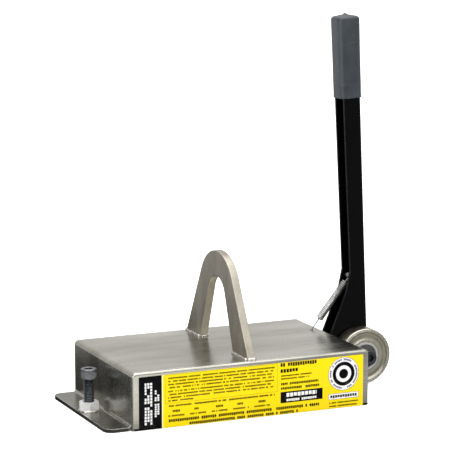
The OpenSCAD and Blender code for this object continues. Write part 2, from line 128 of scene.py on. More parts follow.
def softCopy(node, name, finish, body, width):
    # a merged copy of a CAD mesh with its edges rounded to the given width in mm
    mesh = bpy.data.objects[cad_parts[node].name].data.copy()
    mesh.name = name
    cleanMesh(mesh, meshing["edgeAngle"], flatten=True)
    piece = addObject(name, mesh)
    bevel = piece.modifiers.new("edges", "BEVEL")
    bevel.width = width * mm
    bevel.segments = meshing["bevelSegments"]
    bevel.limit_method = "ANGLE"
    bevel.angle_limit = math.radians(meshing["edgeAngle"])
    bevel.use_clamp_overlap = True
    bevel.harden_normals = True
    finishPiece(piece, finish, body, (node,))


def boxOf(node):
    # lowest corner, highest corner and centre of a CAD node, in mm
    low, high = (np.array(corner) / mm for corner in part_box(node))
    return low, high, (low + high) / 2


def placed(across, sideways, along, origin, axis):
    # local (across, sideways, along) turned so that along runs on the named axis
    order = {"z": (across, sideways, along), "y": (across, along, sideways), "x": (along, across, sideways)}
    return np.stack(np.broadcast_arrays(*order[axis]), -1) + np.asarray(origin, float)


def roundedCorners(corners, reach, steps=4, most=0.48):
    # each corner P becomes (1-s)^2 A + 2s(1-s) P + s^2 B, with A and B reach away on its sides, or at most
    # the given share of a side
    p = np.asarray(corners, float)
    reach = np.broadcast_to(np.asarray(reach, float), len(p))

    def toward(side):
        share = np.minimum(reach / np.linalg.norm(side, axis=1), most)
        return (p + side * share[:, None])[:, None]

    s = np.linspace(0, 1, steps + 1)[None, :, None]
    curve = (1 - s) ** 2 * toward(np.roll(p, 1, 0) - p) + 2 * s * (1 - s) * p[:, None] \
        + s ** 2 * toward(np.roll(p, -1, 0) - p)
    return curve.reshape(-1, 2)


def rectangle(low, high):
    # corners of a box in its x and z
    return [(low[0], low[2]), (high[0], low[2]), (high[0], high[2]), (low[0], high[2])]


def lathePart(radius, height, origin, axis, closeRows=False):
    # radius and height are grids of the row and the angle t: (r cos t, r sin t, h)
    t = circleAngles(radius.shape[1])[None, :]
    return gridPart(placed(radius * np.cos(t), radius * np.sin(t), height, origin, axis), closeRows)


def fullRows(rows, around):
    # rows of (radius, height), each one number or one per angle, made two full grids
    plain = np.ones(around)
    return np.stack([r * plain for r, _ in rows]), np.stack([h * plain for _, h in rows])


def hexRadius(acrossFlats, around, turn=0):
    # distance from the middle to the side of a hexagon: af / 2 / cos((t - turn) mod 60 - 30)
    t = circleAngles(around) - math.radians(turn)
    return acrossFlats / 2 / np.cos(np.mod(t, np.pi / 3) - np.pi / 6)


def slabPart(outline, low, high, roundLow, roundHigh, axis="x", steps=4):
    # closed outline carried from low to high; a rounded edge is inset r(1 - sin f) at a height r(1 - cos f)
    p = np.asarray(outline, float)
    edge = np.roll(p, -1, 0) - p
    edge /= np.linalg.norm(edge, axis=1)[:, None]
    normal = np.stack([edge[:, 1], -edge[:, 0]], -1)
    if np.sum(p[:, 0] * np.roll(p[:, 1], -1) - p[:, 1] * np.roll(p[:, 0], -1)) < 0:
        normal = -normal
    before = np.roll(normal, 1, 0)
    mitre = (before + normal) / (1 + np.sum(before * normal, 1))[:, None]
    f = np.linspace(0, np.pi / 2, steps + 1)
    inset = np.concatenate([roundLow * (1 - np.sin(f)), roundHigh * (1 - np.sin(f[::-1]))])
    level = np.concatenate([low + roundLow * (1 - np.cos(f)), high - roundHigh * (1 - np.cos(f[::-1]))])
    flat = p[None] - inset[:, None, None] * mitre[None]
    points = placed(flat[..., 0], flat[..., 1], level[:, None] + 0 * flat[..., 0], (0, 0, 0), axis)
    return gridPart(points, caps=True)


def tubePart(path, radius, guide, sides=12, closed=False):
    # circle of radius r(s) carried along the path on the frame n = t x guide, b = t x n
    path = np.asarray(path, float)
    if closed:
        tangent = np.roll(path, -1, 0) - np.roll(path, 1, 0)
    else:
        tangent = np.gradient(path, axis=0)
    tangent /= np.linalg.norm(tangent, axis=1)[:, None]
    n = np.cross(tangent, np.asarray(guide, float))
    n /= np.linalg.norm(n, axis=1)[:, None]
    b = np.cross(tangent, n)
    t = circleAngles(sides)
    ring = np.cos(t)[None, :, None] * n[:, None] + np.sin(t)[None, :, None] * b[:, None]
    points = path[:, None] + np.broadcast_to(radius, len(path))[:, None, None] * ring
    return gridPart(points, closeRows=closed, caps=not closed)


def alongPath(corners, spacing, reach=0, closed=False, samples=9):
    # points evenly spaced along a polyline, each the mean of samples within reach of it
    p = np.asarray(corners, float)
    if closed:
        p = np.concatenate([p, p[:1]])
    length = np.concatenate([[0], np.cumsum(np.linalg.norm(np.diff(p, axis=0), axis=1))])
    s = np.linspace(0, length[-1], int(length[-1] / spacing) + 2)
    if closed:
        s = s[:-1]

    def at(where):
        where = np.mod(where, length[-1]) if closed else np.clip(where, 0, length[-1])
        return np.stack([np.interp(where, length, p[:, k]) for k in range(3)], -1)

    offsets = np.linspace(-reach, reach, samples) if reach else [0]
    return np.mean([at(s + o) for o in offsets], 0), s


bench = {"tree": None}  # the node tree that is being built


def link(wire, socket):
    bench["tree"].links.new(wire, socket)


def addNode(kind, inputs=None, **settings):
    # a node with its settings; each input takes a value or a wire from another socket
    node = bench["tree"].nodes.new("ShaderNode" + kind)
    for key, value in settings.items():
        setattr(node, key, value)
    for key, value in (inputs or {}).items():
        if isinstance(value, bpy.types.NodeSocket):
            link(value, node.inputs[key])
        else:
            node.inputs[key].default_value = value
    return node


def useGroup(name, inputs):
    return addNode("Group", inputs, node_tree=bpy.data.node_groups[name]).outputs


def calc(operation, a, b=0.0, clamp=False):
    return addNode("Math", {0: a, 1: b}, operation=operation, use_clamp=clamp).outputs[0]


def plus(a, b):
    return calc("ADD", a, b)


def minus(a, b):
    return calc("SUBTRACT", a, b)


def times(a, b):
    return calc("MULTIPLY", a, b)


def under(a, b):
    return calc("LESS_THAN", a, b)


def allOf(tests):
    # product of masks
    mask = tests[0]
    for test in tests[1:]:
        mask = times(mask, test)
    return mask


def vectorCalc(operation, a, b=(0, 0, 0), output=0):
    return addNode("VectorMath", {0: a, 1: b}, operation=operation).outputs[output]


def split(vector):
    return addNode("SeparateXYZ", {0: vector}).outputs


def join(x, y):
    return addNode("CombineXYZ", {0: x, 1: y}).outputs[0]


def remap(value, fromLow, fromHigh, toLow=0.0, toHigh=1.0):
    return addNode("MapRange", {0: value, 1: fromLow, 2: fromHigh, 3: toLow, 4: toHigh}).outputs[0]


def noiseOf(vector, scale, detail=3.0, rough=0.55):
    return addNode("TexNoise", {
        "Vector": vector, "Scale": scale, "Detail": detail, "Roughness": rough}).outputs[0]


def mix(factor, a, b, blend="MIX"):
    # a and b are wires or (red, green, blue)
    a, b = ((*side, 1.0) if isinstance(side, tuple) else side for side in (a, b))
    return addNode("Mix", {0: factor, 6: a, 7: b}, data_type="RGBA", blend_type=blend).outputs[2]


def newGroup(name, takes, gives):
    # a shader node group: its inputs are numbers or vectors with their usual values, its outputs are numbers
    tree = bench["tree"] = bpy.data.node_groups.new(name, "ShaderNodeTree")
    for socketName, value in takes.items():
        kind = "NodeSocketVector" if isinstance(value, tuple) else "NodeSocketFloat"
        tree.interface.new_socket(name=socketName, in_out="INPUT", socket_type=kind).default_value = value
    for socketName in gives:
        tree.interface.new_socket(name=socketName, in_out="OUTPUT", socket_type="NodeSocketFloat")
    return tree.nodes.new("NodeGroupInput").outputs, tree.nodes.new("NodeGroupOutput").inputs


# windows: the part of a noise's range that is spread over 0 to 1
effects = dict(
    lines=(0.3, 0.7), clouds=(0.32, 0.68), farScale=0.35, farShare=0.4, scratchAt=0.7,
    scratchWidth=0.02, broadScale=0.22, fineShare=0.4, broadShare=0.6, rings=(0.35, 0.65),
    wornAndLit=(0.35, 0.6), dusty=(0.35, 0.7), blockShare=0.8, shortest=0.82, heightSeed=31,
    endSeed=7,
)


def makeGrainGroup():
    # lines: noise on the stretched position; clouds: noise on the position; scratches: where a wobble plus a
    # share of the stretched noise is near one value
    take, give = newGroup("metalGrain", {
        "Vector": (0, 0, 0), "Stretch": (20, 900, 900), "Cloud Scale": (18, 18, 18), "Scratch Scale": 60.0},
        ["Lines", "Clouds", "Scratches"])
    stretched = vectorCalc("MULTIPLY", take["Vector"], take["Stretch"])
    lines = noiseOf(stretched, 1, 2, 0.6)
    clouds = noiseOf(vectorCalc("MULTIPLY", take["Vector"], take["Cloud Scale"]), 1, 4, 0.6)
    wobble = noiseOf(take["Vector"], take["Scratch Scale"], 1, 0.4)
    far = noiseOf(stretched, effects["farScale"], 1, 0.4)
    band = plus(wobble, times(far, effects["farShare"]))
    thin = calc("ABSOLUTE", minus(band, effects["scratchAt"]))
    link(remap(lines, *effects["lines"]), give["Lines"])
    link(remap(clouds, *effects["clouds"]), give["Clouds"])
    link(remap(thin, 0, effects["scratchWidth"], 1, 0), give["Scratches"])


def makeTurnedGroup():
    # rings round an axle along Y: noise on the distance from it, r = sqrt((x - cx)^2 + (z - cz)^2)
    take, give = newGroup("turnedRings", {"Vector": (0, 0, 0), "Centre": (0, 0, 0), "Scale": 1500.0},
            ["Rings"])
    off = vectorCalc("SUBTRACT", take["Vector"], take["Centre"])
    reach = vectorCalc("LENGTH", vectorCalc("MULTIPLY", off, (1, 0, 1)), output="Value")
    spot = join(reach, split(off)[1])
    fine = noiseOf(spot, take["Scale"], 2, 0.7)
    broad = noiseOf(spot, times(take["Scale"], effects["broadScale"]), 1, 0.5)
    rings = plus(times(fine, effects["fineShare"]), times(broad, effects["broadShare"]))
    link(remap(rings, *effects["rings"]), give["Rings"])


def makeWearGroup():
    # edge wear and painted edge highlights: where the rounded normal leaves the true one, (1 - dot) * gain,
    # broken up by noise
    take, give = newGroup("edgeWear", {
        "Vector": (0, 0, 0), "Radius": 0.001, "Gain": 6, "Break Up": 400.0}, ["Wear"])
    soft = addNode("Bevel", {"Radius": take["Radius"]}, samples=4).outputs[0]
    true = addNode("NewGeometry").outputs["Normal"]
    dot = vectorCalc("DOT_PRODUCT", soft, true, "Value")
    edge = times(minus(1, dot), take["Gain"])
    broken = remap(noiseOf(take["Vector"], take["Break Up"], 3, 0.6), *effects["wornAndLit"])
    link(calc("MULTIPLY", edge, broken, clamp=True), give["Wear"])


def makeDustGroup():
    # dust lies where the face looks up: clamp(normal z) times a cloudy noise
    take, give = newGroup("settledDust", {"Vector": (0, 0, 0), "Amount": 0.3, "Scale": 40.0}, ["Dust"])
    up = split(addNode("NewGeometry").outputs["Normal"])[2]
    cloud = remap(noiseOf(take["Vector"], take["Scale"], 5, 0.65), *effects["dusty"])
    link(allOf([cloud, calc("MAXIMUM", up, 0), take["Amount"]]), give["Dust"])


rowNames = ("Start", "End", "Top", "Pitch", "Rows", "Height", "Cell", "Fill", "Ragged", "Seed")
boxNames = ("Left", "Right", "Bottom", "Top")


def makePrintGroup():
    # plain blocks: row = floor((top - v) / pitch), block = floor((u - start) / cell), kept by a random draw
    take, give = newGroup("printedBlocks", {name: 0.0 for name in ("U", "V") + rowNames}, ["Mask"])

    def draw(x, y):
        return addNode("TexWhiteNoise", {"Vector": join(x, y)}, noise_dimensions="2D").outputs["Value"]

    down = calc("DIVIDE", minus(take["Top"], take["V"]), take["Pitch"])
    row = calc("FLOOR", down)
    inRow = times(calc("FRACT", down), take["Pitch"])
    across = calc("DIVIDE", minus(take["U"], take["Start"]), take["Cell"])
    block = calc("FLOOR", across)
    seeded = plus(row, take["Seed"])
    size = remap(draw(block, plus(seeded, effects["heightSeed"])), 0, 1, effects["shortest"], 1)
    rowEnd = minus(take["End"], times(draw(seeded, effects["endSeed"]), take["Ragged"]))
    link(allOf([
        under(inRow, times(take["Height"], size)),
        under(0, down),
        under(row, minus(take["Rows"], 0.5)),
        under(calc("FRACT", across), effects["blockShare"]),
        under(0, across),
        under(take["U"], rowEnd),
        under(draw(block, seeded), take["Fill"]),
    ]), give["Mask"])


def makeBoxGroup():
    # 1 inside left < u < right and bottom < v < top
    take, give = newGroup("printedBox", {name: 0.0 for name in ("U", "V") + boxNames}, ["Mask"])
    tests = [test for axis, low, high in (("U", "Left", "Right"), ("V", "Bottom", "Top"))
            for test in (under(take[low], take[axis]), under(take[axis], take[high]))]
    link(allOf(tests), give["Mask"])


makeGrainGroup()
makeTurnedGroup()
makeWearGroup()
makeDustGroup()
makePrintGroup()
makeBoxGroup()
print("node groups made")


def newFinish(name, **shaderValues):
    # a material with one Principled shader; returns the shader and the object coordinates
    finish = bpy.data.materials.new(name)
    finish.use_nodes = True
    finishes[name] = finish
    bench["tree"] = finish.node_tree
    shader = finish.node_tree.nodes["Principled BSDF"]
    for key, value in shaderValues.items():
        shader.inputs[key].default_value = value
    return shader, addNode("TexCoord").outputs["Object"]


def wireUp(shader, colour, rough, strength, depth, height):
    # colour and roughness straight in, the height through a bump
    bump = addNode("Bump", {"Strength": strength, "Distance": depth, "Height": height})
    for key, wire in (("Base Color", colour), ("Roughness", rough), ("Normal", bump.outputs[0])):
        link(wire, shader.inputs[key])


def triple(value):
    return value if isinstance(value, tuple) else (value,) * 3


# what a metal has unless its own row says otherwise; its tones are dark, light and the lines' own
metalUsual = dict(
    stretch=(20, 900, 900), cloud=18, scratch=60, scratchDepth=0.25, lineTone=0.25,
    lineShare=0.6, cloudShare=0.4, rough=(0.25, 0.42), bump=0.12, depth=0.0003, metallic=1,
    wearAndHighlight=None, edgeRadius=0.0012, edgeGain=6, dust=0, dustColour=(0.32, 0.28, 0.2),
    dustRough=0.5, rings=None, paintedShade=None, paintedShadeFade=0.004,
)


def metalFinish(name, settings):
    # colour = mix(dark, light, clouds) and lines; roughness = mix(low, high, lines and clouds);
    # bump = lines - scratches
    s = {**metalUsual, **settings}
    shader, where = newFinish(name, Metallic=s["metallic"])
    dark, light, lineColour = s["tones"]
    grain = useGroup("metalGrain", {"Vector": where, "Stretch": triple(s["stretch"]),
            "Cloud Scale": triple(s["cloud"]), "Scratch Scale": s["scratch"]})
    lines = grain["Lines"]
    if s["rings"]:
        centre, scale = s["rings"]
        lines = useGroup("turnedRings", {"Vector": where, "Centre": centre, "Scale": scale})["Rings"]
    colour = mix(grain["Clouds"], dark, light)
    colour = mix(times(lines, s["lineTone"]), colour, lineColour)
    grainy = plus(times(lines, s["lineShare"]), times(grain["Clouds"], s["cloudShare"]))
    rough = remap(grainy, 0, 1, *s["rough"])
    if s["paintedShade"]:
        # painted shade: darker low down and beyond one end, mask = clamp((x0 - x) / fade) * clamp((z0 - z) /
        # fade)
        place = split(where)
        endX, topZ, tone = s["paintedShade"]
        mask = times(remap(place[0], endX, endX - s["paintedShadeFade"]),
                remap(place[2], topZ, topZ - s["paintedShadeFade"]))
        colour = mix(mask, colour, mix(1, colour, tone, "MULTIPLY"))
    # edges tinted towards the edge colour: worn edges and painted edge highlights
    if s["wearAndHighlight"]:
        wornAndLit = useGroup("edgeWear", {"Vector": where, "Radius": s["edgeRadius"], "Gain": s["edgeGain"]})
        colour = mix(wornAndLit["Wear"], colour, s["wearAndHighlight"])
    if s["dust"]:
        dust = useGroup("settledDust", {"Vector": where, "Amount": s["dust"]})["Dust"]
        colour = mix(dust, colour, s["dustColour"])
        rough = plus(rough, times(dust, s["dustRough"]))
    height = minus(lines, times(grain["Scratches"], s["scratchDepth"]))
    wireUp(shader, colour, rough, s["bump"], s["depth"], height)


wheelRings = (tuple(boxOf("roller_wheel")[2] * mm), 1500)
# painted shade on the flange at one end only: beyond the side plates' end and lower than a little over the
# sheet's thickness
flangePaintedShade = (boxOf("front_side_plate")[0][0] * mm - 0.0005, 0.0078, (0.26, 0.26, 0.25))
oxide = dict(stretch=(500, 500, 900), cloud=90, metallic=0.9, bump=0.08, edgeRadius=0.0006)
plating = dict(stretch=(700, 700, 500), cloud=70, rough=(0.18, 0.32), bump=0.1)
turned = dict(rings=wheelRings, cloud=60)

# the edge colours are near white on the stainless sheet, the stainless plate and the wheel, painted edge
# highlights; on the oxides they are lighter grey, worn edges and painted highlight
metals = {
    "stainlessSheet": dict(tones=((0.3, 0.29, 0.245), (0.6, 0.588, 0.535), (0.78, 0.772, 0.73)), stretch=(14,
        700, 700), cloud=(5, 19, 19), scratch=38, rough=(0.14, 0.32), bump=0.09, wearAndHighlight=(0.95, 0.94,
        0.9), edgeGain=11, edgeRadius=0.0022, dust=0.1, paintedShade=flangePaintedShade),
    "stainlessPlate": dict(tones=((0.24, 0.22, 0.18), (0.46, 0.43, 0.365), (0.66, 0.62, 0.54)), stretch=(600,
        500, 30), cloud=(30, 30, 12), scratch=70, rough=(0.24, 0.44), bump=0.16, wearAndHighlight=(0.92, 0.89,
        0.8), edgeRadius=0.0016),
    "weldMetal": dict(tones=((0.4, 0.37, 0.32), (0.82, 0.8, 0.76), (0.9, 0.88, 0.85)), stretch=300,
        cloud=140, scratch=200, rough=(0.16, 0.36), bump=0.35),
    "backingAlloy": dict(tones=((0.5, 0.51, 0.52), (0.68, 0.69, 0.7), (0.78, 0.79, 0.8)), stretch=(500, 40,
        500), rough=(0.28, 0.45)),
    "poleSteel": dict(tones=((0.26, 0.26, 0.26), (0.42, 0.42, 0.42), (0.55, 0.55, 0.54)), stretch=(900, 25,
        900), rough=(0.25, 0.45), bump=0.15),
    "magnetBlock": dict(tones=((0.02, 0.02, 0.022), (0.05, 0.05, 0.052), (0.08, 0.08, 0.08)), stretch=700,
        rough=(0.55, 0.75), metallic=0, bump=0.3),
    "blackOxide": dict(oxide, tones=((0.03, 0.033, 0.04), (0.075, 0.08, 0.09), (0.14, 0.15, 0.165)),
        rough=(0.2, 0.36), wearAndHighlight=(0.3, 0.31, 0.33)),
    "zincPlate": dict(plating, tones=((0.55, 0.55, 0.52), (0.84, 0.84, 0.83), (0.92, 0.92, 0.92)),
        metallic=0.75, dust=0.2),
    "springWire": dict(tones=((0.26, 0.27, 0.265), (0.5, 0.51, 0.5), (0.62, 0.63, 0.62)), stretch=600,
        cloud=90, rough=(0.2, 0.32), bump=0.1),
    "greyOxide": dict(oxide, tones=((0.13, 0.14, 0.155), (0.27, 0.285, 0.3), (0.4, 0.41, 0.43)), rough=(0.22,
        0.38), wearAndHighlight=(0.5, 0.51, 0.53)),
    "brightZinc": dict(plating, tones=((0.72, 0.71, 0.7), (0.93, 0.93, 0.96), (0.97, 0.97, 0.98)),
        metallic=0.25),
    "bronzeBush": dict(tones=((0.42, 0.25, 0.09), (0.6, 0.4, 0.16), (0.7, 0.5, 0.25)), stretch=(900, 60,
        900), rough=(0.3, 0.45)),
    "wheelSteel": dict(turned, tones=((0.2, 0.187, 0.135), (0.42, 0.395, 0.3), (0.62, 0.6, 0.5)), cloud=45,
        rough=(0.2, 0.38), bump=0.3, lineTone=0.75, wearAndHighlight=(1, 0.99, 0.93), edgeGain=16,
        edgeRadius=0.0018),
    "raceSteel": dict(turned, tones=((0.68, 0.68, 0.67), (0.85, 0.85, 0.85), (0.93, 0.93, 0.93)),
        rough=(0.12, 0.24), bump=0.08),
    "shieldSteel": dict(turned, tones=((0.1, 0.1, 0.096), (0.19, 0.19, 0.185), (0.3, 0.3, 0.29)), rough=(0.3,
        0.45), bump=0.1),
}
for metal, settings in metals.items():
    metalFinish(metal, settings)

paint = {"base": (0.0012, 0.0014, 0.002), "chipAndHighlight": (0.2, 0.21, 0.225), "chipAndHighlightShare": 0.55, "rough": (0.16, 0.27),
    "specular": 0.1, "peel": 420, "bump": 0.12, "depth": 0.0004, "cloud": 30, "cloudWindow": (0.3, 0.7),
    "wearAndHighlight": {"Radius": 0.0011, "Gain": 2.4, "Break Up": 260}, "dust": {"Amount": 0.08, "Scale": 55},
    "dustColour": (0.2, 0.19, 0.17)}


def makePaint():
    # glossy powder coat: a noise as orange peel, grey at the edges as chips down to primer and painted edge
    # highlights, a little dust
    shader, where = newFinish("blackPaint", **{"Specular IOR Level": paint["specular"]})
    peel = noiseOf(where, paint["peel"], 2, 0.45)
    wearAndHighlight = useGroup("edgeWear", {"Vector": where, **paint["wearAndHighlight"]})["Wear"]
    dust = useGroup("settledDust", {"Vector": where, **paint["dust"]})["Dust"]
    # grey edges: paint chips and painted edge highlights
    colour = mix(times(wearAndHighlight, paint["chipAndHighlightShare"]), paint["base"], paint["chipAndHighlight"])
    colour = mix(dust, colour, paint["dustColour"])
    rough = remap(noiseOf(where, paint["cloud"], 3, 0.6), *paint["cloudWindow"], *paint["rough"])
    wireUp(shader, colour, rough, paint["bump"], paint["depth"], peel)


vinyl = {"dark": (0.022, 0.029, 0.037), "light": (0.038, 0.047, 0.058), "scuff": (0.11, 0.12, 0.13),
    "scuffShare": 0.25, "sheen": 0.04, "specular": 0.55, "rough": (0.3, 0.42), "fine": 1400,
    "lineShare": 0.5, "bump": 0.16, "depth": 0.0003,
    "grain": {"Stretch": (260, 260, 60), "Cloud Scale": (34, 34, 34), "Scratch Scale": 48}}


def makeVinyl():
    # satin dipped vinyl: slate blue with cloudy scuffs, fine grain in the bump
    shader, where = newFinish("vinylGrip", **{"Sheen Weight": vinyl["sheen"],
            "Specular IOR Level": vinyl["specular"]})
    grain = useGroup("metalGrain", {"Vector": where, **vinyl["grain"]})
    colour = mix(grain["Clouds"], vinyl["dark"], vinyl["light"])
    colour = mix(times(grain["Scratches"], vinyl["scuffShare"]), colour, vinyl["scuff"])
    fine = noiseOf(where, vinyl["fine"], 2, 0.6)
    height = plus(times(grain["Lines"], vinyl["lineShare"]), fine)
    rough = remap(grain["Clouds"], 0, 1, *vinyl["rough"])
    wireUp(shader, colour, rough, vinyl["bump"], vinyl["depth"], height)


resin = dict(dark=(0.012, 0.013, 0.014), light=(0.045, 0.047, 0.05), cloud=60, pits=260,
    pitWidth=0.25, cloudWindow=(0.3, 0.7), rough=(0.35, 0.6), bump=0.3, depth=0.0004)


def makeResin():
    # cast resin: near black, cloudy, small pits
    shader, where = newFinish("pottingResin")
    cloud = noiseOf(where, resin["cloud"], 4, 0.6)
    pits = addNode("TexVoronoi", {"Vector": where, "Scale": resin["pits"]}).outputs["Distance"]
    wireUp(shader, mix(cloud, resin["dark"], resin["light"]),
           remap(cloud, *resin["cloudWindow"], *resin["rough"]), resin["bump"], resin["depth"],
           remap(pits, 0, resin["pitWidth"]))


# the two rows along the foot of the label run through its middle and its right part
footRows = [(-108, 86, 10.4, 9, 1, 3.7, 2.75, 0.88, 0, 27, "black"),
    (-82, 59.6, 4.9, 9, 1, 3.5, 2.65, 0.88, 0, 33, "black")]
labelPrint = {
    "yellow": (0.93, 0.72, 0.006), "faded": (0.80, 0.58, 0.012), "black": (0.0025, 0.0025, 0.0035),
    "white": (0.86, 0.86, 0.88), "cream": (0.9, 0.86, 0.5), "violet": (0.1, 0.1, 0.18),
    "fade": 25, "fadeWindow": (0.3, 0.7), "fadeShare": 0.25, "scuffShare": 0.03, "rough": (0.3, 0.46),
    "bump": 0.06, "depth": 0.0003,
    "gloss": {"Coat Weight": 0.02, "Coat Roughness": 0.2, "Specular IOR Level": 0.06},
    "grain": {"Stretch": (30, 900, 900), "Cloud Scale": (30, 30, 30), "Scratch Scale": 30},
    "parts": ("left", "middle", "right"), "cuts": (-114, 33),
    # panels: left, right, bottom, top in mm, ink
    "panels": {"left": [(-150, -116.6, -5, 75, "black"), (-116.6, -115, -5, 75, "cream")],
            "right": [(35.2, 90.7, 14.6, 28.2, "black"), (98.5, 139.2, 11.9, 19.2, "black"),
            (98.9, 138.8, 12.3, 18.8, "white")]},
    # rows: start, end, top, pitch, rows, height, cell, fill, ragged, seed, ink
    "rows": {
        "middle": [
            (-108.5, 28, 60.1, 3.75, 4, 2, 1.5, 0.84, 6, 1, "black"),
            (-108.5, 28, 44.5, 3.75, 3, 2, 1.5, 0.84, 6, 9, "black"),
            (-108.5, -77, 33.3, 3.75, 1, 2, 1.5, 0.84, 0, 15, "black"),
            (-108, 27.5, 27.2, 9, 1, 2.3, 1.7, 0.86, 0, 21, "black"), *footRows],
        "right": [
            *footRows,
            (35, 83, 63.2, 9, 1, 4.8, 3.2, 0.9, 0, 41, "black"),
            (35, 58.5, 55.8, 9, 1, 4.5, 3.9, 1, 0, 47, "black"),
            (35.7, 76, 48.5, 3.6, 2, 1.9, 1.5, 0.88, 3, 51, "black"),
            (35.7, 86.8, 39.2, 5.4, 2, 3.1, 2.3, 0.9, 3, 61, "black"),
            (42.9, 82.8, 26.3, 9, 1, 5, 4.9, 1, 0, 71, "white"),
            (43, 82.8, 19.2, 9, 1, 3.1, 2.5, 0.9, 0, 77, "white"),
            (101, 136.5, 17.2, 9, 1, 3.6, 3.3, 1, 0, 81, "black"),
            (99.8, 138.8, 8.8, 4.1, 2, 2, 1.6, 0.92, 4, 87, "black")]},
    # the same without the ink, for the black part, where rows run upwards: top is measured along u
    "upright": [(6.6, 56.2, -128.6, 3.5, 3, 2.6, 3.6, 0.82, 0, 3),
            (15, 46.8, -119.9, 3.3, 2, 2.4, 2.7, 0.82, 0, 4)],
    # a thin frame: its box, then its line
    "frame": (-112.6, 31, 29.3, 63.2), "frameLine": 0.35, "frameShare": 0.7,
    # columns of marks: left end of the first, pitch, count and top; the two lines of each as half width, then
    # top, pitch, rows, height, cell, fill, ragged, seed
    "columns": (-112.3, 27.4, 5, 60), "columnLines": [(4.6, 21.2, 9, 1, 2.9, 1.9, 0.9, 0, 122.2),
            (10, 15.4, 9, 1, 2.2, 1.45, 0.9, 0, 116.4)],
    # round badge: discs from the outside in, a ring of marks laid out on the angle times the spread
    "badge": (118.7, 42.5), "discs": ((20.5, "black"), (20, "white")), "marksSpread": 12,
    "marks": (-36, 36, 18.7, 9, 1, 2.5, 1.5, 0.85, 0, 5), "disc": 14.7, "ring": (6, 10.2),
}


def makeLabelFinish(name, part):
    # printed film: u = x and v = z in mm; every mark is a plain block, box or ring mixed over the yellow
    s = labelPrint
    shader, where = newFinish(name, **s["gloss"])
    axes = split(vectorCalc("MULTIPLY", where, (1 / mm,) * 3))
    u, v = axes[0], axes[2]

    def boxMask(*corners):
        return useGroup("printedBox", {"U": u, "V": v, **dict(zip(boxNames, corners))})["Mask"]

    def rowMask(along, across, *values):
        return useGroup("printedBlocks", {"U": along, "V": across, **dict(zip(rowNames, values))})["Mask"]

    fade = remap(noiseOf(where, s["fade"], 4, 0.6), *s["fadeWindow"], 0, s["fadeShare"])
    colour = mix(fade, s["yellow"], s["faded"])
    for *corners, ink in s["panels"].get(part, []):
        colour = mix(boxMask(*corners), colour, s[ink])
    for *row, ink in s["rows"].get(part, []):
        colour = mix(rowMask(u, v, *row), colour, s[ink])
    if part == "left":
        for row in s["upright"]:
            colour = mix(rowMask(v, u, *row), colour, s["white"])
    if part == "middle":
        inset = np.array([1, -1, 1, -1]) * s["frameLine"]
        outline = calc("SUBTRACT", boxMask(*s["frame"]), boxMask(*(s["frame"] + inset)), clamp=True)
        colour = mix(times(outline, s["frameShare"]), colour, s["black"])
        first, pitch, count, highest = s["columns"]
        column = calc("FLOOR", calc("DIVIDE", minus(u, first), pitch))
        within = minus(minus(u, first), times(column, pitch))
        isColumn = boxMask(first, first + pitch * count, 0, highest)
        for half, *line, seed in s["columnLines"]:
            mask = rowMask(within, v, pitch / 2 - half, pitch / 2 + half, *line, plus(column, seed))
            colour = mix(times(mask, isColumn), colour, s["black"])
    if part == "right":
        du, dv = (minus(wire, middle) for wire, middle in zip((u, v), s["badge"]))
        reach = calc("SQRT", plus(times(du, du), times(dv, dv)))
        turn = times(calc("ARCTAN2", du, dv), s["marksSpread"])
        for radius, ink in s["discs"]:
            colour = mix(under(reach, radius), colour, s[ink])
        colour = mix(rowMask(turn, reach, *s["marks"]), colour, s["violet"])
        colour = mix(under(reach, s["disc"]), colour, s["black"])
        inner, outer = s["ring"]
        ring = times(under(reach, outer), under(inner, reach))
        colour = mix(ring, colour, s["white"])
    grain = useGroup("metalGrain", {"Vector": where, **s["grain"]})
    colour = mix(times(grain["Scratches"], s["scuffShare"]), colour, s["cream"])
    rough = remap(grain["Clouds"], 0, 1, *s["rough"])
    wireUp(shader, colour, rough, s["bump"], s["depth"], grain["Clouds"])


makePaint()
makeVinyl()
makeResin()
labelFinishes = ["labelFilm" + part.capitalize() for part in labelPrint["parts"]]
for name, part in zip(labelFinishes, labelPrint["parts"]):
    makeLabelFinish(name, part)
print("finishes made")

bail = dict(outerLean=28.2, innerLean=20.0, gap=97.6, crown=31.0, edge=1.1, arcSteps=40)


def archSide(halfWidth, lean, rise, base):
    # outline from one foot over the crown: r = (w cos a - h sin a) / (1 - sin a), tangent to the legs
    a = math.radians(lean)
    r = (halfWidth * math.cos(a) - rise * math.sin(a)) / (1 - math.sin(a))
    t = np.linspace(a, math.pi - a, bail["arcSteps"])
    arc = np.stack([r * np.cos(t), base + rise - r + r * np.sin(t)], -1)
    return np.concatenate([[[halfWidth, base]], arc, [[-halfWidth, base]]])


def makeBail():
    low, high, _ = boxOf("lifting_bail")
    rise = high[2] - low[2]
    outer = archSide(high[1], bail["outerLean"], rise, low[2])
    inner = archSide(bail["gap"] / 2, bail["innerLean"], rise - bail["crown"], low[2])
    slab = slabPart(np.concatenate([outer, inner[::-1]]), low[0], high[0], bail["edge"], bail["edge"])
    makePiece("liftingBail", [slab], "stainlessPlate", "magnet_body", ["lifting_bail"],
            weighted=True)


sidePlate = dict(corners=[0.6, 0.6, 6.0, 6.0], steps=8, outerEdge=3.2, innerEdge=0.1)


def makeSidePlates():
    for side, outward in (("front", -1), ("rear", 1)):
        node = side + "_side_plate"
        low, high, _ = boxOf(node)
        outline = roundedCorners(rectangle(low, high), sidePlate["corners"], sidePlate["steps"])
        edges = (sidePlate["outerEdge"], sidePlate["innerEdge"])[::-outward]
        makePiece(side + "SidePlate", [slabPart(outline, low[1], high[1], *edges, "y")], "stainlessSheet",
                "magnet_body", [node], weighted=True)


labelFilm = dict(corner=1.4, steps=5, edge=0.1, edgeSteps=2)


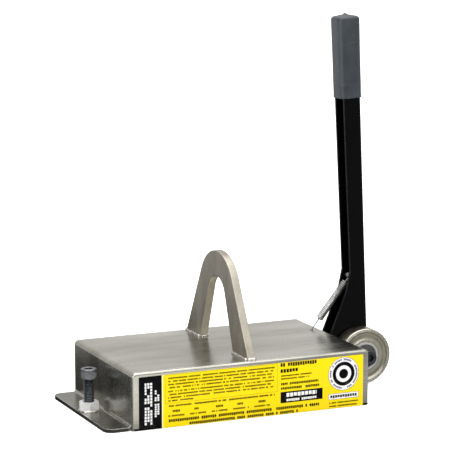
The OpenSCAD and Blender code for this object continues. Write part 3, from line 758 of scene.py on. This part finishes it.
def makeLabel():
    # thin slab with rounded corners; its faces are cut where one print finish ends and the next begins
    low, high, _ = boxOf("label_plate")
    outline = roundedCorners(rectangle(low, high), labelFilm["corner"], labelFilm["steps"])
    slab = slabPart(outline, low[1], high[1], labelFilm["edge"], 0.0, "y", labelFilm["edgeSteps"])
    piece = makePiece("printedLabel", [slab], labelFinishes[0], "magnet_body", ["label_plate"])
    work = bmesh.new()
    work.from_mesh(piece.data)
    for cut in labelPrint["cuts"]:
        bmesh.ops.bisect_plane(work, geom=work.verts[:] + work.edges[:] + work.faces[:], dist=1e-7,
                plane_co=(cut * mm, 0, 0), plane_no=(1, 0, 0))
    for face in work.faces:
        face.material_index = sum(face.calc_center_median().x > cut * mm for cut in labelPrint["cuts"])
    work.to_mesh(piece.data)
    work.free()
    for finish in labelFinishes[1:]:
        piece.data.materials.append(finishes[finish])


# waves: size, rate along the bead and lag by the seed
welds = dict(radius=2.1, end=2.9, out=0.6, over=1.6, short=1.5, lift=0.5, endLift=0.7,
    ripple=0.16, pitch=2.6, spacing=0.65, reach=2.0, waves=((0.06, 0.37, 1), (0.05, 0.91, 2.3)),
    nutBead=1.5, nutReach=11.6, nutLift=0.3, lugBead=1.7, lugIn=0.4, sharp=80)


def bead(corners, radius, guide, seed, closed=False):
    # bead radius = r (1 + ripple (|sin(pi s / pitch)| - 1/2) + slow waves); an open bead tapers at both ends
    path, s = alongPath(corners, welds["spacing"], 0 if closed else welds["reach"], closed)
    swell = 1 + welds["ripple"] * (np.abs(np.sin(np.pi * s / welds["pitch"])) - 0.5)
    for size, rate, lag in welds["waves"]:
        swell += size * np.sin(s * rate + lag * seed)
    if not closed:
        swell *= np.sqrt(np.clip(np.minimum(s, s[-1] - s) / radius, 0.05, 1))
    return tubePart(path, radius * swell, guide, 12, closed)


def makeWelds():
    low, high, _ = boxOf("lifting_bail")
    out, over, lift = high[0] + welds["out"], high[0] + welds["over"], welds["lift"]
    inside, end = bail["gap"] / 2, high[1] - 0.1
    parts = []

    def run(start, stop, rise, radius, seed):
        parts.append(bead([(*spot, low[2] + rise) for spot in (start, stop)], radius, (0, 0, 1), seed))

    for k, side in enumerate((-1, 1)):
        for face in (-1, 1):
            stop = side * (end - welds["short"])
            run((face * out, side * inside), (face * out, stop), lift, welds["radius"], k * 1.7 + face)
        run((-over, side * end), (over, side * end), welds["endLift"], welds["end"], k + 2.0)
        within = side * (inside - 0.4)
        run((0.5 - high[0], within), (high[0] - 0.5, within), lift, welds["radius"], k + 4.0)
    makePiece("bailWeldBeads", parts, "weldMetal", "magnet_body", ["bail_welds"],
            welds["sharp"])
    nutLow, _, nutAt = boxOf("jack_nut")
    t, reach = circleAngles(60), welds["nutReach"]
    ring = np.stack([nutAt[0] + reach * np.cos(t), nutAt[1] + reach * np.sin(t),
            nutLow[2] + welds["nutLift"] + 0 * t], -1)
    makePiece("jackNutWeld", [bead(ring, welds["nutBead"], (0, 0, 1), 2.0, closed=True)], "weldMetal",
            "magnet_body", sharp=welds["sharp"])
    lugLow, lugHigh, _ = boxOf("pivot_lug")
    wall, near, far = lugLow[0] + welds["lugIn"], lugLow[1] + welds["short"], lugHigh[1] - welds["short"]
    runs = [[(wall, near, level), (wall, far, level)] for level in (lugLow[2], lugHigh[2])]
    makePiece("lugWeld", [bead(run, welds["lugBead"], (1, 0, 0), 5.0 + k) for k, run in enumerate(runs)],
            "weldMetal", "magnet_body", sharp=welds["sharp"])


# seat and rim: how far in from the head's side, and how far from its seat or its top
screws = dict(pitch=1.95, depth=0.95, around=192, threadAround=48, threadRows=8, lead=0.9,
    headShare=0.75, socketShare=0.75, socketDepth=0.5, socketCone=1.4, countersink=1.1,
    seat=((1.2, 0), (0.35, 0.25), (0, 1.0)), rim=((0, 1.1), (0.2, 0.55), (0.8, 0.12), (1.3, 0)),
    ridges=48, ridgeDepth=0.34, ridgePower=0.6, ridgeRows=6, ridgeFrom=1.4, ridgeTo=1.5)


def capHeadRows(radius, height):
    # outline of a socket head from its seat up, over the rim and down the hexagon to a shallow cone
    s = screws
    socket = height * s["socketShare"]
    hexagon = hexRadius(socket, s["around"])
    waves = 0.5 + 0.5 * np.cos(s["ridges"] * circleAngles(s["around"]))
    ridged = radius * (1 - s["ridgeDepth"] / radius * waves ** s["ridgePower"])
    low, last = s["ridgeFrom"], s["ridgeRows"]
    rise = (height - s["ridgeTo"] - low) / last
    floor = height * s["socketDepth"]
    rows = [(0, 0)] + [(radius - inset, level) for inset, level in s["seat"]]
    rows += [(radius if k in (0, last) else ridged, low + rise * k) for k in range(last + 1)]
    rows += [(radius - inset, height - drop) for inset, drop in s["rim"]]
    rows += [(np.maximum(hexagon, socket / 2 * s["countersink"]) + 0.35, height),
            (hexagon + 0.05, height - 0.4), (hexagon, height - 0.9), (hexagon, floor),
            (0, floor - s["socketCone"])]
    return fullRows(rows, s["around"])


def threadRows(radius, start, end):
    # r = radius - depth * |2 frac(h / pitch - t / 2pi) - 1| with flats, and a chamfered tip at the start
    s = screws
    t = circleAngles(s["threadAround"])[None, :]
    h = np.linspace(start, end, int((end - start) / s["pitch"] * s["threadRows"]))[:, None]
    tooth = np.abs(2 * np.mod(h / s["pitch"] - t / (2 * np.pi), 1) - 1)
    r = radius - s["depth"] * np.clip(1.25 * tooth - 0.1, 0, 1)
    r = np.minimum(r, radius - s["depth"] + (h - start) * s["lead"])
    r[[0, -1]] = 0
    return r, h + 0 * t


def makeCapScrew(name, node, body, axis, headAtHigh, headFinish):
    # head and threaded shank on one axis; the shank keeps the black finish
    low, high, at = boxOf(node)
    k = "xyz".index(axis)
    radius = (high - low)[(k + 1) % 3] / 2
    height = radius / screws["headShare"]
    sign = 1 if headAtHigh else -1
    origin = at.copy()
    origin[k] = high[k] - height if headAtHigh else low[k] + height
    shells = capHeadRows(radius, height), threadRows(height / 2, height - high[k] + low[k], 0.5)
    parts = [lathePart(reach, sign * level, origin, axis) for reach, level in shells]
    piece = makePiece(name, parts, headFinish, body, [node], sharp=40)
    piece.data.materials.append(finishes["blackOxide"])
    centres = np.empty(len(piece.data.polygons) * 3)
    piece.data.polygons.foreach_get("center", centres)
    onShank = sign * (centres.reshape(-1, 3)[:, k] / mm - origin[k]) < 0
    piece.data.polygons.foreach_set("material_index", onShank.astype(np.int32))


# coneAt and face are shares of half the width across the flats; collar: its two insets
nuts = dict(bore=6.42, chamfer=0.6, coneAt=0.985, coneAngle=30, face=0.97, collar=(1.2, 2.4),
    around=216, sharp=22)


def makeHexNut(name, node, body, axis, collar, finish, flats, turn=0):
    # sides at hexRadius; the corners are cut by a cone: h = height - (r - af / 2) tan 30
    low, high, at = boxOf(node)
    k = "xyz".index(axis)
    hexagon = hexRadius(flats, nuts["around"], turn)
    cone = np.maximum(hexagon - flats / 2 * nuts["coneAt"], 0) * math.tan(math.radians(nuts["coneAngle"]))
    full = high[k] - low[k]
    top = full - collar
    face, bore, chamfer = flats / 2 * nuts["face"], nuts["bore"], nuts["chamfer"]
    rows = [(bore, chamfer), (bore + chamfer, 0), (face, 0), (hexagon, cone), (hexagon, top - cone),
            (face, top)]
    if collar:
        side, upper = flats / 2 - np.array(nuts["collar"])
        rows += [(side, top + 0.1), (side, full - nuts["collar"][0]), (upper, full)]
    rows += [(bore + chamfer, full), (bore, full - chamfer)]
    origin = at.copy()
    origin[k] = low[k]
    part = lathePart(*fullRows(rows, nuts["around"]), origin, axis, closeRows=True)
    makePiece(name, [part], finish, body, [node], sharp=nuts["sharp"])


# tread: how far in from the wheel's edge and down from its face; rounds: each corner's reach, hub first
wheel = dict(hub=3.3, dish=2.2, dishIn=6.4, hubStep=0.5, fillet=0.7, around=160,
    tread=((4.2, 0), (2.9, 0), (2.5, 0.8), (1.8, 0.8), (1.4, 0), (1.0, 0), (0, 1.0)),
    rounds=[0.25, 0.5, 0.8, 1.2, 0.6, 0.15, 0.15, 0.15, 0.15, 0.3, 0.7])


def turnedPart(profile, origin, around, rounds, steps):
    # a closed profile of radius and width with rounded corners, turned about an axle along y
    points = roundedCorners(profile, rounds, steps)
    plain = np.ones(around)
    return lathePart(points[:, :1] * plain, points[:, 1:] * plain, origin, "y", closeRows=True)


def makeWheel():
    # half a profile, mirrored about the mid plane
    low, high, at = boxOf("roller_wheel")
    raceLow, raceHigh, _ = boxOf("bearing_outer_races")
    r, half = (high[0] - low[0]) / 2, (high[1] - low[1]) / 2
    bearing = (raceHigh[0] - raceLow[0]) / 2
    hub, dish, step = bearing + wheel["hub"], half - wheel["dish"], half - wheel["hubStep"]
    near = [(bearing, step), (hub, step), (hub + wheel["fillet"], dish), (r - wheel["dishIn"], dish)]
    near += [(r - inset, half - drop) for inset, drop in wheel["tread"]]
    profile = near + [(a, -b) for a, b in near[::-1]]
    rounds = wheel["rounds"] + wheel["rounds"][::-1]
    makePiece("rollerWheel", [turnedPart(profile, at, wheel["around"], rounds, 4)], "wheelSteel", "roller",
            ["roller_wheel"], sharp=50)


def makeRing(name, node, inner, edge=0.35):
    # washer or spacer on the lever: a rectangle of radius and width
    low, high, at = boxOf(node)
    outer, half = (high[2] - low[2]) / 2, (high[1] - low[1]) / 2
    profile = [(inner, -half), (outer, -half), (outer, half), (inner, half)]
    part = turnedPart(profile, at, 96, edge, 3)
    makePiece(name, [part], "zincPlate", "lever", [node], sharp=50)


# mouth and nipple: inset from the wall or radius, and level or depth under the tip; dome: shares of its foot
grip = dict(wall=2.2, lip=0.45, lipLength=5.0, lipRise=0.25, lipTuck=0.35, shoulder=5.6,
    shoulderIn=5.4, shoulderRise=0.72, nippleHigh=1.9, lean=2.48, power=4.4, clear=0.12,
    roof=6.5, tip=0.3, mouth=((2.2, 6.0), (1.9, 0.6), (1.1, 0.0)), swell=0.42, waves=(9, 7),
    waveHigh=0.06, dome=(0.8, 0.6, 0.42, 0.3), domeTop=1.7,
    nipple=((1.9, 1.0), (1.2, 0.35), (0.0, 0.0)), around=48)


def superSection(power, count):
    # closed curve |x|^p + |y|^p = 1 as a function of the angle
    t = circleAngles(count) + np.pi / count
    x, y = np.cos(t), np.sin(t)
    reach = (np.abs(x) ** power + np.abs(y) ** power) ** (-1 / power)
    return np.stack([x * reach, y * reach], -1)


def makeGrip():
    # sections carried up the leaning lever: inner wall down to the lip, outer wall up, then a dome and nipple
    g = grip
    low, high, middle = boxOf("hand_grip")
    lean = math.radians(g["lean"])
    up = np.array([-math.sin(lean), 0, math.cos(lean)])
    along = np.array([math.cos(lean), 0, math.sin(lean)])
    # width w and length l of a block whose leaning box is X by Z: X = w cos + l sin, Z = w sin + l cos
    boxX, boxZ = (high - low)[[0, 2]]
    spread = math.cos(2 * lean)
    length = (boxZ * math.cos(lean) - boxX * math.sin(lean)) / spread
    outside = g["lip"] + g["clear"]
    a = (boxX * math.cos(lean) - boxZ * math.sin(lean)) / spread / 2 - outside
    b = (high[1] - low[1]) / 2 - outside
    peak, wall, lipLength = length - g["tip"], g["wall"], g["lipLength"]
    roof = peak - g["roof"]
    inner = [(0, 0, roof), (a - wall, b - wall, roof)]
    inner += [(a - d, b - d, level) for d, level in g["mouth"]]
    k = np.linspace(0, 1, 5)
    flare = g["lip"] * (1 - k) ** 2 - g["lipTuck"] * (k == 0)
    lip = np.stack([a + flare, b + flare, g["lipRise"] + lipLength * k], -1)
    top = peak - g["shoulder"] - g["nippleHigh"]
    k = np.linspace(0.08, 1, 14)
    sides = [half + g["waveHigh"] * wave(rate * k) + g["swell"] * k
            for half, wave, rate in zip((a, b), (np.sin, np.cos), g["waves"])]
    outer = np.stack([*sides, lipLength + (top - lipLength) * k], -1)
    f = np.linspace(0, np.pi / 2, 7)[1:]
    inset = g["shoulderIn"] * (1 - np.cos(f))
    rise = g["shoulderRise"] * g["shoulder"] * np.sin(f)
    shoulder = np.stack([outer[-1, 0] - inset, outer[-1, 1] - inset, top + rise], -1)
    s = np.array(g["dome"])
    x, y, z = shoulder[-1]
    dome = np.stack([x * s, y * s, z + (peak - g["domeTop"] - z) * (1 - s ** 2)], -1)
    nipple = [(r, r, peak - depth) for r, depth in g["nipple"]]
    sections = np.concatenate([inner, lip, outer, shoulder, dome, nipple])
    ring = superSection(g["power"], g["around"])[None] * sections[:, None, :2]
    points = middle + ring[..., :1] * along + ring[..., 1:] * np.array([0, 1.0, 0]) \
        + (sections[:, 2] - length / 2)[:, None, None] * up
    makePiece("handGrip", [gridPart(points)], "vinylGrip", "lever", ["hand_grip"], sharp=60)


spring = dict(wire=1.7, coil=9.8, start=15.0, eye=3.6, eyeTurn=1.86, neck=6.0, pitch=2.1,
    perTurn=18, below=6.1, toe=4.2, lap=0.6, leadIn=0.35, step=0.5, bend=1.1)


def makeSpring():
    # hook, then x = s along the axis with radius R in the coil (cos, sin of 2 pi s / pitch), then an eye
    s = spring
    low, _, at = boxOf("return_spring")
    pin = boxOf("spring_anchor_pin")[2]
    wire, lap, start = s["wire"], s["lap"], s["start"]
    anchor = np.array([pin[0], at[1], pin[2]])
    hook = np.array([low[0] + wire / 2, at[1], boxOf("housing_shell")[1][2] + wire])
    axis = anchor - hook
    length = np.linalg.norm(axis)
    axis /= length
    across = np.array([0, 1.0, 0])
    side = np.cross(axis, across)
    coilEnd = length - s["eye"] - s["neck"]
    turns = (coilEnd - start) / s["pitch"]
    turn = np.linspace(0, turns, int(turns * s["perTurn"]))
    radius = (s["coil"] - wire) / 2 * np.minimum(1, np.minimum(turn, turns - turn) / s["leadIn"])
    t = 2 * np.pi * turn
    coil = hook + (start + turn * s["pitch"])[:, None] * axis \
        + (radius * np.cos(t))[:, None] * side + (radius * np.sin(t))[:, None] * across
    corner = hook - np.array([0, 0, s["below"] + wire])
    hookPath, _ = alongPath([corner + (s["toe"], 0, 0), corner, hook, hook + axis * (start - lap)],
            s["step"], s["bend"])
    toEye, _ = alongPath([hook + axis * (coilEnd + lap), hook + axis * (length - s["eye"] - 0.8)],
            s["step"])
    t = np.linspace(0, s["eyeTurn"] * np.pi, 40)
    eye = anchor + s["eye"] * (-np.cos(t)[:, None] * axis + np.sin(t)[:, None] * side)
    path = np.concatenate([hookPath, coil, toEye, eye])
    piece = makePiece("returnSpring", [tubePart(path, wire / 2, axis + across + side, 8)], "springWire", None,
            ["return_spring"], sharp=180)
    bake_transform(piece)


makeBail()
makeSidePlates()
makeLabel()
makeWelds()
print("housing pieces made")
makeCapScrew("jackScrew", "jack_screw", "jack", "z", True, "greyOxide")
makeHexNut("jackNut", "jack_nut", "magnet_body", "z", 0, "brightZinc", 22.2, 16.67)
makeCapScrew("axleScrew", "axle_screw", "lever", "y", False, "blackOxide")
makeHexNut("lockNut", "lock_nut", "lever", "y", 3.0, "zincPlate", 19.05)
makeWheel()
makeRing("axleSpacer", "axle_spacer", 6.4)
makeRing("axleWasher", "axle_washer", 6.55)
makeRing("pivotWasher", "pivot_washer", 6.55)
makeGrip()
makeSpring()
softCopy("housing_shell", "housingShell", "stainlessSheet", "magnet_body", 0.5)
softCopy("lever_channel", "leverChannel", "blackPaint", "lever", 0.5)
softCopy("pivot_lug", "pivotLug", "stainlessPlate", "magnet_body", 0.6)
softCopy("pivot_pin", "pivotPin", "zincPlate", "lever", 0.3)
print("lever and roller pieces made")

keptNodes = {
    "backingAlloy": ["backing_plate"], "pottingResin": ["potting"],
    "poleSteel": [f"pole_bar_{k}" for k in range(1, 6)],
    "magnetBlock": [f"magnet_row_{k}" for k in range(1, 5)],
    "blackOxide": ["pole_screws", "pivot_clip"], "bronzeBush": ["pivot_bush", "bearing_cages"],
    "raceSteel": ["bearing_outer_races", "bearing_inner_races", "bearing_balls"],
    "shieldSteel": ["bearing_shields"], "zincPlate": ["spring_anchor_pin", "axle_sleeve", "channel_spacer"],
}
for finish, nodes in keptNodes.items():
    for node in nodes:
        for slot in bpy.data.objects[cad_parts[node].name].material_slots:
            slot.material = finishes[finish]

# painted reflections in the floor's mirror: dark near one place, a bright pool near another, a rise far to the
# west; spans are distances
studio = dict(floor=60.0, floorGlow=0.8, floorTones=((0.9, 0.9, 0.9), (0.94, 0.94, 0.94)),
    darkAt=(-0.24, 0.18, 0), darkSpan=(0.1, 0.5), mirror=(0.04, 0.36),
    poolAt=(-0.12, -0.33, 0), poolSpan=(0.02, 0.24), pool=2.5, farSpan=(-0.8, -1.5), far=0.8,
    world=(0.26, 0.85), worldToward=(0.62, 0.3, 0.72), worldSpan=(-0.45, 0.9),
    worldTone=(1.0, 0.99, 0.96), backdrop=(0.97, 0.97, 0.97))
black, white = (0.0, 0.0, 0.0), (1.0, 1.0, 1.0)


def makeFloor():
    # one large plane, plain white to the camera; in reflections it shows painted reflections, a grey that
    # rises away from one place, plus a pool that falls away from another and a rise far to the west, painting
    # dark reflections and highlights on the metal
    mesh = bpy.data.meshes.new("floor")
    h = studio["floor"] / 2
    mesh.from_pydata([(-h, -h, 0), (h, -h, 0), (h, h, 0), (-h, h, 0)], [], [(0, 1, 2, 3)])
    floor = addObject("floor", mesh)
    shader, where = newFinish("paleFloor", Roughness=0.9, **{"Specular IOR Level": 0.0})
    rays = addNode("LightPath").outputs
    pale = mix(noiseOf(where, 0.6, 2.0, 0.5), *studio["floorTones"])
    dark, pool = (remap(vectorCalc("DISTANCE", where, studio[place], "Value"), *studio[span], *tones)
            for place, span, tones in (("darkAt", "darkSpan", studio["mirror"]),
            ("poolAt", "poolSpan", (studio["pool"], 0.0))))
    far = remap(split(where)[0], *studio["farSpan"], 0.0, studio["far"])
    # painted reflections: the floor's colour in glossy rays only
    paintedReflection = mix(plus(plus(dark, pool), far), black, white)
    link(mix(rays["Is Glossy Ray"], pale, paintedReflection), shader.inputs["Base Color"])
    shader.inputs["Emission Strength"].default_value = studio["floorGlow"]
    link(mix(rays["Is Camera Ray"], black, pale), shader.inputs["Emission Color"])
    mesh.materials.append(finishes["paleFloor"])


def makeWorld():
    # radiance = mix(dark, bright, direction . toward), with a plain white for the camera
    world = bpy.data.worlds.new("studio")
    bpy.context.scene.world = world
    world.use_nodes = True
    bench["tree"] = world.node_tree
    direction = addNode("TexCoord").outputs["Generated"]
    toward = vectorCalc("DOT_PRODUCT", direction, studio["worldToward"], "Value")
    level = remap(toward, *studio["worldSpan"], *studio["world"])
    tone = mix(level, black, studio["worldTone"])
    camera = addNode("LightPath").outputs["Is Camera Ray"]
    link(mix(camera, tone, studio["backdrop"]), world.node_tree.nodes["Background"].inputs["Color"])


# kind, energy, place, target and the light's own size
lights = {"sun": ("SUN", 1.5, (-0.5, -1.3, 2.6), (0, 0, 0), {"angle": math.radians(80)}),
    "key": ("AREA", 2.5, (1.2, -1.7, 1.4), (0.05, 0, 0.1), {"size": 1.8}),
    "left": ("AREA", 12, (-2.1, -1.2, 0.5), (-0.1, 0, 0.15), {"size": 1.2}),
    "top": ("AREA", 12, (0.1, 0.3, 1.8), (0, 0, 0.05), {"size": 1.4})}


def makeLights():
    # each light looks from its place to its target: tilt = acos(z / distance), turn = atan2(x, -y)
    for name, (kind, energy, place, target, size) in lights.items():
        data = bpy.data.lights.new(name, kind)
        data.energy = energy
        for key, value in size.items():
            setattr(data, key, value)
        light = addObject(name, data)
        light.location = place
        back = np.array(place, float) - np.array(target, float)
        light.rotation_euler = (math.acos(back[2] / np.linalg.norm(back)), 0, math.atan2(back[0], -back[1]))


view = dict(place=(-1.012558, -2.292856, 0.642188), azimuth=23.968, elevation=9.6466, lens=168.966)


def makeCamera():
    data = bpy.data.cameras.new("camera")
    data.lens = view["lens"]
    data.sensor_width = 36
    data.clip_end = 200
    camera = addObject("camera", data)
    camera.location = view["place"]
    camera.rotation_euler = (math.radians(90 - view["elevation"]), 0, -math.radians(view["azimuth"]))
    bpy.context.scene.camera = camera


makeFloor()
makeWorld()
makeCamera()
makeLights()
bpy.context.scene.view_settings.view_transform = "Standard"
print("stage made")
